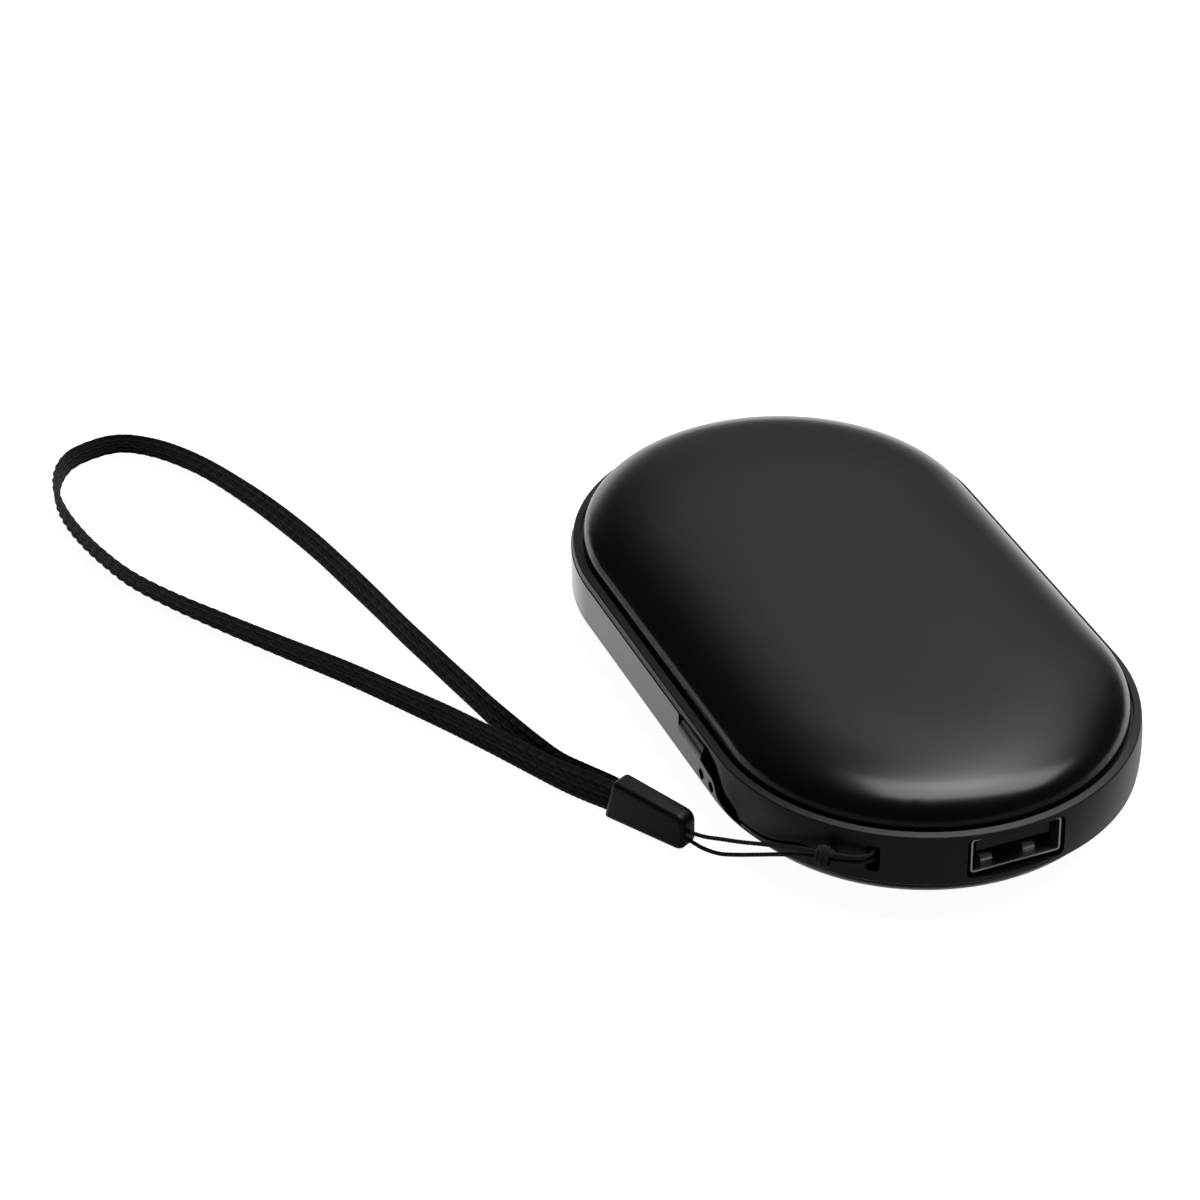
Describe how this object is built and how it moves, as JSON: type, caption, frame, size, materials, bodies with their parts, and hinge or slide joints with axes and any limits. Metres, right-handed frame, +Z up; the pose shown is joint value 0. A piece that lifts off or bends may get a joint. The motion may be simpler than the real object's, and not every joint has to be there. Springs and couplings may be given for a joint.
{
  "type": "rechargeable hand warmer",
  "caption": "Palm-sized rechargeable hand warmer with rounded metal shells, a USB-A power outlet, side button panel and a wrist strap on a toggle.",
  "frame": {"origin": "on the rest face under the middle of the body", "axes": "+Z up through the joint of the frames, +Y towards the end without a socket, -X the button side"},
  "size_m": [0.12, 0.1558, 0.0198],
  "materials": {
    "satin_black_metal": "satin black paint on drawn aluminium",
    "black_frame_plastic": "fine satin moulding",
    "gloss_black_panel": "polished",
    "gloss_black_button": "polished, crowned",
    "switch_plastic": "moulded",
    "white_plastic": "moulded",
    "smoked_guide": "smoked clear plastic",
    "lamp_white": "clear lens",
    "socket_steel": "nickel plated sheet",
    "socket_plastic": "moulded",
    "contact_gold": "gold plated",
    "board_green": "solder mask",
    "chip_black": "moulded",
    "inductor_grey": "pressed ferrite",
    "capacitor_tan": "ceramic with tinned ends",
    "cell_foil": "laminated foil pouch",
    "board_amber": "polyimide tape",
    "lead_red": "silicone insulation",
    "heater_film": "polyimide film",
    "lead_white": "silicone insulation",
    "bead_black": "epoxy bead",
    "grey_foam": "open-cell foam",
    "screw_steel": "zinc plated",
    "cord_black": "fine braided cord",
    "toggle_black": "moulded",
    "webbing_black": "herringbone webbing"
  },
  "bodies": {
    "root": {"top_shell": "satin_black_metal", "bottom_shell": "satin_black_metal", "upper_frame": "black_frame_plastic", "lower_frame": "black_frame_plastic", "side_panel": "gloss_black_panel", "button_switch": "switch_plastic", "light_guides": "smoked_guide", "status_leds": "lamp_white", "usb_a_shell": "socket_steel", "usb_a_tongue": "socket_plastic", "usb_a_contacts": "contact_gold", "charging_port_shell": "socket_steel", "charging_port_tongue": "socket_plastic", "circuit_board": "board_green", "controller_chips": "chip_black", "power_inductor": "inductor_grey", "capacitors": "capacitor_tan", "battery_cell": "cell_foil", "cell_protection_board": "board_amber", "battery_leads": "lead_red", "top_heater": "heater_film", "bottom_heater": "heater_film", "top_heater_leads": "lead_white", "bottom_heater_leads": "lead_white", "thermistor": "bead_black", "top_foam_pad": "grey_foam", "bottom_foam_pad": "grey_foam", "frame_screws": "screw_steel", "board_screws": "screw_steel", "lanyard_pin": "screw_steel", "lanyard_cord": "cord_black", "cord_hitch": "cord_black", "strap_toggle": "toggle_black", "wrist_strap": "webbing_black"},
    "button": {"power_button": "gloss_black_button"},
    "plunger": {"switch_plunger": "white_plastic"}
  },
  "joints": [
    {"name": "button_press", "type": "slide", "parent": "root", "child": "button", "axis": [1, 0, 0], "range_m": [0, 0.00035], "stiffness_N_per_m": 800},
    {"name": "plunger_press", "type": "slide", "parent": "root", "child": "plunger", "axis": [1, 0, 0], "range_m": [0, 0.00035]}
  ],
  "couplings": [
    {"joint": "plunger_press", "follows": "button_press", "ratio": 1}
  ]
}
